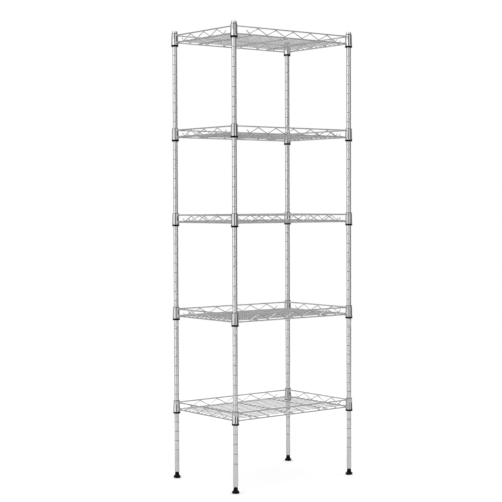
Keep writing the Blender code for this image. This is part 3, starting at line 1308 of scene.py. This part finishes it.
@dataclass
class Studio:
    """A white room: a pale floor, soft lights, and the camera."""

    camera_place: Place = (-2.325, -2.914, 0.7455)
    camera_yaw: float = math.radians(38.1)
    camera_pitch: float = math.radians(2.0)
    camera_roll: float = math.radians(-0.2)
    lens: float = 98.42  # millimetres, as the sensor's width
    sensor: float = 36.0
    floor_size: float = 4.0
    floor_cloud_shade: float = 0.985
    aim: Place = (0.0, 0.0, 0.6)
    lamps: tuple[Lamp, ...] = (
        Lamp("key_light", (-2.9, -0.35, 2.6), 1.6, 14.0),
        Lamp("fill_light", (1.0, -2.4, 3.0), 1.6, 9.0),
        Lamp("top_light", (0.3, 0.4, 3.2), 2.0, 14.0),
    )
    floor_colour: Colour = (0.97, 0.97, 0.97)
    mirrored_floor: Colour = (0.60, 0.60, 0.60)
    wall_colour: Colour = (1.12, 1.12, 1.12)
    dark_colour: Colour = (0.03, 0.03, 0.03)
    ceiling_colour: Colour = (0.8, 0.8, 0.8)
    ceiling_rise: Point = (0.3, 0.8)  # sines of the angles up between which the walls turn to ceiling
    dark_edge: float = math.radians(5)
    dark_bearings: tuple[Place, ...] = (
        (-17.0, 17.0, 0.97),
        (50.0, 100.0, 0.96),
        (100.0, 181.0, 0.6),
        (-181.0, -100.0, 0.75),
    )  # start and end in degrees from the camera's side, and depth

    def add_camera(self) -> bpy.types.Object:
        """Stands the camera to the front left, level with the middle shelves.

        Returns:
            The camera.
        """
        data = bpy.data.cameras.new("camera")
        data.sensor_width = self.sensor
        data.lens = self.lens
        data.clip_end = 100.0
        made = bpy.data.objects.new("camera", data)
        made.location = self.camera_place
        made.rotation_euler = (math.pi / 2 - self.camera_pitch, -self.camera_roll, -self.camera_yaw)
        bpy.context.scene.collection.objects.link(made)
        bpy.context.scene.camera = made
        return made

    def add_floor(self) -> bpy.types.Object:
        """Lays the pale floor.

        Returns:
            The floor.
        """
        bpy.ops.object.select_all(action="DESELECT")
        bpy.ops.mesh.primitive_plane_add(size=self.floor_size)
        made = bpy.context.active_object
        made.name = "floor"
        material = bpy.data.materials.new("pale_floor")
        material.use_nodes = True
        bench = NodeBench(material.node_tree)
        clouds = bench.noise(bench.place(), 3.0, 2.0)
        shade = tuple(part * self.floor_cloud_shade for part in self.floor_colour)
        seen = bench.blended(clouds, self.floor_colour, shade)
        gloss = Field(bench, bench.node("ShaderNodeLightPath").outputs["Is Glossy Ray"])
        colour = bench.blended(gloss, seen, self.mirrored_floor)
        shader = bench.node("ShaderNodeBsdfPrincipled", {}, {"Base Color": colour, "Roughness": 0.8})
        bench.node("ShaderNodeOutputMaterial", {}, {"Surface": shader.outputs[0]})
        made.data.materials.append(material)
        return made

    def add_light(self, lamp: Lamp) -> bpy.types.Object:
        """Hangs one soft light, turned to the middle of the rack.

        Args:
            lamp: What is hung.

        Returns:
            The light.
        """
        data = bpy.data.lights.new(lamp.name, "AREA")
        data.shape = "RECTANGLE"
        data.size = data.size_y = lamp.side
        data.energy = lamp.power
        made = bpy.data.objects.new(lamp.name, data)
        made.location = lamp.place
        way = Vector(self.aim) - Vector(lamp.place)
        made.rotation_euler = way.to_track_quat("-Z", "Y").to_euler()
        bpy.context.scene.collection.objects.link(made)
        return made

    def add_room(self) -> bpy.types.World:
        """Surrounds the rack with pale walls that have darker stretches between the lights.

        Returns:
            The world.
        """
        world = bpy.data.worlds.new("room")
        bpy.context.scene.world = world
        world.use_nodes = True
        bench = NodeBench(world.node_tree)
        way = bench.node("ShaderNodeTexCoord").outputs["Generated"]
        east, north, up = bench.axes(way)
        sine, cosine = math.sin(self.camera_yaw), math.cos(self.camera_yaw)
        ahead = east * sine + north * cosine
        rightward = east * cosine - north * sine
        bearing = rightward.bearing(-1.0 * ahead)
        shade = 0.0
        edge = self.dark_edge
        for first, last, depth in self.dark_bearings:
            start, end = math.radians(first), math.radians(last)
            rise = bearing.ramp(start - edge, start + edge)
            shade = (rise * bearing.ramp(end + edge, end - edge) * depth).highest(shade)
        walls = bench.blended(shade, self.wall_colour, self.dark_colour)
        room = bench.blended(up.ramp(*self.ceiling_rise), walls, self.ceiling_colour)
        rays = bench.node("ShaderNodeLightPath").outputs
        gloss = Field(bench, rays["Is Glossy Ray"])
        colour = bench.blended(gloss, (1.0, 1.0, 1.0), room)
        back = bench.node("ShaderNodeBackground", {}, {"Color": colour, "Strength": 1.0})
        bench.node("ShaderNodeOutputWorld", {}, {"Surface": back.outputs[0]})
        return world

    def build(self) -> None:
        """Sets up the camera, the floor, the room and the lights."""
        self.add_camera()
        self.add_floor()
        self.add_room()
        for lamp in self.lamps:
            self.add_light(lamp)
        bpy.context.scene.view_settings.view_transform = "Standard"


def main() -> None:
    """Builds the rack's pieces, then the studio."""
    logging.basicConfig(level=logging.INFO, format="%(message)s")
    layout = Layout()
    assemblies = Posts(layout), JointStuds(layout), LevellingFeet(layout), Sleeves(layout), Shelf(layout)
    for assembly in assemblies:
        for piece in assembly.build():
            LOG.info("%s: %s, %d faces", type(assembly).__name__, piece.name, len(piece.data.polygons))
    Studio().build()


if __name__ == "__main__":
    main()
